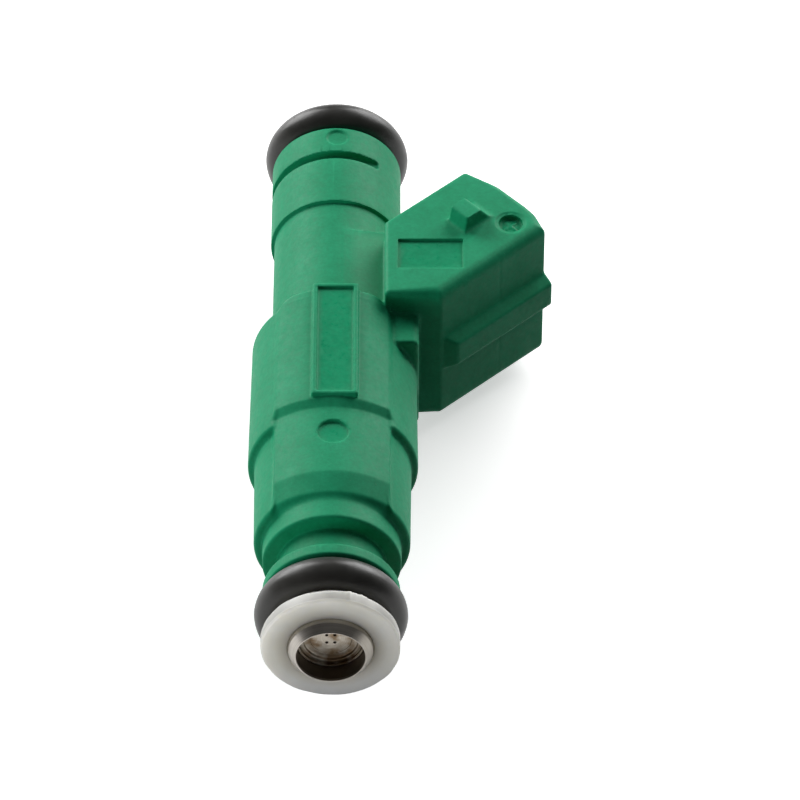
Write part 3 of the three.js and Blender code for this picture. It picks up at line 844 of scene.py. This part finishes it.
def cap_piece():
    vertices, faces = turned_mesh(rounded([
        (CAP_BORE, CAP_FRONT + 0.06, 0.02),
        (4.16, CAP_FRONT, 0.04),
        (6.46, CAP_FRONT, 0.12),
        (CAP_R - 0.02, CAP_FRONT + 0.2, 0.15),
        (CAP_R - 0.03, CAP_RIM, 0.05),
        (5.9, CAP_RIM + 0.35, 0.2),
        (5.5, CAP_BACK, 0.1),
        (CAP_BORE, CAP_BACK, 0.05),
        (CAP_BORE, -2.7, 0),
        (3.95, -2.8, 0),
        (3.95, -3.1, 0),
        (CAP_BORE, -3.2, 0),
    ], 6), 320)
    vertices = np.array(vertices)
    x, y, z = vertices.T
    turn = np.arctan2(x, z)
    radius = np.hypot(x, z)
    # the rim isn't quite round, and a ragged line of flash stands on it right of the top
    outer = np.clip((radius - 5.2) / 1.2, 0, 1)
    wobble = 0.03 * np.sin(3 * turn + 0.7) + 0.02 * np.sin(7 * turn) + 0.012 * np.sin(17 * turn + 2)
    on_edge = (radius > 6.4) * (y > CAP_RIM - 0.1)
    flash = np.clip(1 - np.abs((turn - 0.37) / 0.2) ** 4, 0, 1) * on_edge
    ragged = 0.55 + 0.3 * np.sin(29 * turn) + 0.25 * np.sin(71 * turn + 1) + 0.2 * np.sin(173 * turn)
    scale = 1 + (outer * (wobble - 0.05) + 0.14 * flash * np.clip(ragged, 0.1, 1)) / 6.6
    vertices[:, 0] *= scale
    vertices[:, 2] *= scale
    # a faint ring that the mould's ejector pin left
    pin = np.abs(np.hypot(x + 2.3, z - 4.9) - 0.55)
    vertices[:, 1] -= 0.03 * np.clip(1 - pin / 0.12, 0, 1) * (y < CAP_FRONT + 0.3)
    return mesh_object("milky_cap", vertices, faces)


stand_for(cap_piece(), "nozzle_cap", milky)

tip = turned("steel_tip", [
    (3.25, -5.35, 0.05),
    (3.34, -5.35, 0.04),
    (3.98, -4.62, 0.08),
    (4.08, -4.3, 0.1),
    (4.08, -3.3, 0),
    (3.88, -3.2, 0),
    (3.88, -2.7, 0),
    (4.08, -2.6, 0),
    (4.08, -1.95, 0.06),
    (3.72, -1.95, 0.1),
    (3.72, 1.95, 0.1),
    (4.3, 1.95, 0.06),
    (4.3, 19, 0.06),
    (3.36, 19, 0),
    (3.36, 12.5, 0),
    (2.4, 11.9, 0),
    (2.4, 4, 0),
    (3.25, 4, 0),
], 192)
stand_for(tip, "valve_body", stainless)


def spray_piece():
    obj = turned("orifice_disc", [
        (0, -2.9, 0),
        (1.95, -2.9, 0.04),
        (1.99, -3.0, 0.04),
        (2.55, -3.0, 0.08),
        (2.6, -3.3, 0.05),
        (3, -3.3, 0.08),
        (3, -2.65, 0.05),
        (0, -2.65, 0),
    ], 128)
    hole_r = 0.16
    hole, faces = turned_mesh([(0, -3.2), (hole_r, -3.2), (hole_r, -2.4), (0, -2.4)], 24)
    for x in (-0.38, 0.38):
        for z in (-0.56, 0.44):
            cut_away(obj, mesh_object("hole", np.array(hole) + (x, 0, z), faces))
    shade(obj)
    return obj


stand_for(spray_piece(), "spray_disc", spray_steel)
retainer = turned("retaining_ring", [
    (3.03, -3.55, 0.03),
    (3.22, -3.55, 0.06),
    (3.22, -2.65, 0.03),
    (3.03, -2.65, 0.03),
])
stand_for(retainer, "disc_retainer", spray_steel)


# ---- Inlet end ----

inlet = turned("inlet_pipe", [
    (1.95, 22.11, 0),
    (3.33, 22.11, 0.1),
    (3.33, 24.5, 0),
    (4.3, 24.5, 0.1),
    (4.3, 33.35, 0.1),
    (3.72, 33.35, 0.05),
    (3.72, 65.85, 0.15),
    (5.35, 65.85, 0.12),
    (5.55, 65.98, 0.1),
    (5.55, 66.3, 0.12),
    (5.42, 66.4, 0.12),
    (3.25, 66.4, 0.3),
    (3, 66.1, 0.1),
    (3, 50, 0.1),
    (1.95, 49, 0.1),
], 192)
stand_for(inlet, "inlet_tube", stainless)
strainer_ring = turned("strainer_ring", [
    (2.3, 63.6, 0.05),
    (2.97, 63.6, 0.05),
    (2.97, 66.1, 0.12),
    (2.3, 66.1, 0.25),
], 128)
stand_for(strainer_ring, "strainer_collar", collar_brass)


def strainer_net():
    """A tube of fine mesh with real openings."""
    low, high = box_mm("strainer_mesh")
    columns, rows = 36, 72
    inset = 0.06
    radius = high[2] - inset
    vertices = []
    for j in range(rows + 1):
        y = low[1] + inset + (high[1] - low[1] - 2 * inset) * j / rows
        for i in range(columns):
            turn = 2 * math.pi * i / columns
            vertices.append((radius * math.sin(turn), y, radius * math.cos(turn)))
    faces = []
    for j in range(rows):
        for i in range(columns):
            here, there = j * columns + i, j * columns + (i + 1) % columns
            faces.append((here, there, there + columns, here + columns))
    obj = mesh_object("strainer_net", vertices, faces)
    wires = obj.modifiers.new("wires", "WIREFRAME")
    wires.thickness = 0.1 * MM
    wires.use_even_offset = False
    apply_modifiers(obj)
    shade(obj)
    return obj


stand_for(strainer_net(), "strainer_mesh", strainer_nylon)


# ---- Terminals ----

def blade(name, node_name):
    """A flat blade with a tapered lead-in."""
    low, high = box_mm(node_name)
    middle, half = (NEAR + FAR) / 2, 1.4
    end = 44.3

    def bend(across, x):
        return x, (across + x * UY) / UX

    outline = rounded([
        (4.6, low[1], 0),
        (5.8, low[1], 0),
        (*bend(middle - half, 5.8), 0.8),
        (*in_socket(end - 0.9, middle - half), 0.4),
        (*in_socket(end, middle - half + 0.55), 0.3),
        (*in_socket(end, middle + half - 0.55), 0.3),
        (*in_socket(end - 0.9, middle + half), 0.4),
        (*bend(middle + half, 4.6), 1.2),
    ], 4)
    count = len(outline)
    vertices = [(x, y, z) for z in (low[2], high[2]) for x, y in outline]
    faces = [tuple(reversed(range(count))), tuple(range(count, 2 * count))]
    faces += [(i, (i + 1) % count, count + (i + 1) % count, count + i) for i in range(count)]
    obj = mesh_object(name, vertices, faces)
    edge = obj.modifiers.new("edge", "BEVEL")
    edge.width = 0.12 * MM
    edge.segments = 2
    edge.limit_method = "ANGLE"
    edge.angle_limit = math.radians(50)
    apply_modifiers(obj)
    shade(obj)
    stand_for(obj, node_name, tinned_brass)


blade("blade_left", "terminal_blade_left")
blade("blade_right", "terminal_blade_right")


# ---- The pieces inside, as the CAD model has them ----

INSIDE = {
    "valve_seat": hard_steel,
    "guide_ring": stainless,
    "valve_ball": hard_steel,
    "needle_tube": stainless,
    "armature": magnet_steel,
    "return_spring": spring_steel,
    "non_magnetic_sleeve": stainless,
    "adjusting_sleeve": spring_steel,
    "strainer_frame": strainer_nylon,
    "coil_bobbin": black_nylon,
    "coil_winding": copper,
    "magnet_housing": magnet_steel,
    "flux_washer": magnet_steel,
}
for node_name, material in INSIDE.items():
    finish(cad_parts[node_name], material)
    shade(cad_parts[node_name])


# ---- Light and floor ----

def area(name, place, aim, size, power):
    light = bpy.data.objects.new(name, bpy.data.lights.new(name, "AREA"))
    bpy.context.scene.collection.objects.link(light)
    light.data.shape = "RECTANGLE"
    light.data.size, light.data.size_y = size
    light.data.energy = power
    light.location = place
    light.rotation_euler = (Vector(aim) - Vector(place)).to_track_quat("-Z", "Y").to_euler()
    return light


area("key_left", (-0.52, 0.57, 0.36), (0, 0.03, 0), (0.6, 0.6), 8.7)
area("key_right", (0.44, 0.60, 0.36), (0, 0.03, 0), (0.6, 0.6), 8.0)
fill = area("fill", (-0.52, -0.42, 0.065), (0, 0.0, 0), (0.8, 0.13), 2.3)
fill.visible_glossy = False

world = bpy.data.worlds.new("studio")
bpy.context.scene.world = world
world.use_nodes = True
sky = world.node_tree
set_inputs(sky, sky.nodes["Background"], {"Strength": 0.085, "Color": (1, 1, 1, 1)})
bpy.context.scene.view_settings.view_transform = "Standard"

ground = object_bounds()[0][2]
reach = 3000
corners = [(x * reach, y * reach, ground / MM) for x, y in ((-1, -1), (1, -1), (1, 1), (-1, 1))]
floor = mesh_object("floor", corners, [(0, 1, 2, 3)])
floor_paint, floor_tree, floor_shader, _ = new_material("floor_paint")
set_inputs(floor_tree, floor_shader, {
    "Base Color": (0.93, 0.93, 0.93, 1),
    "Roughness": 0.8,
    "Emission Color": (1, 1, 1, 1),
    "Emission Strength": 0.5,
})
finish(floor, floor_paint)
floor.visible_diffuse = False
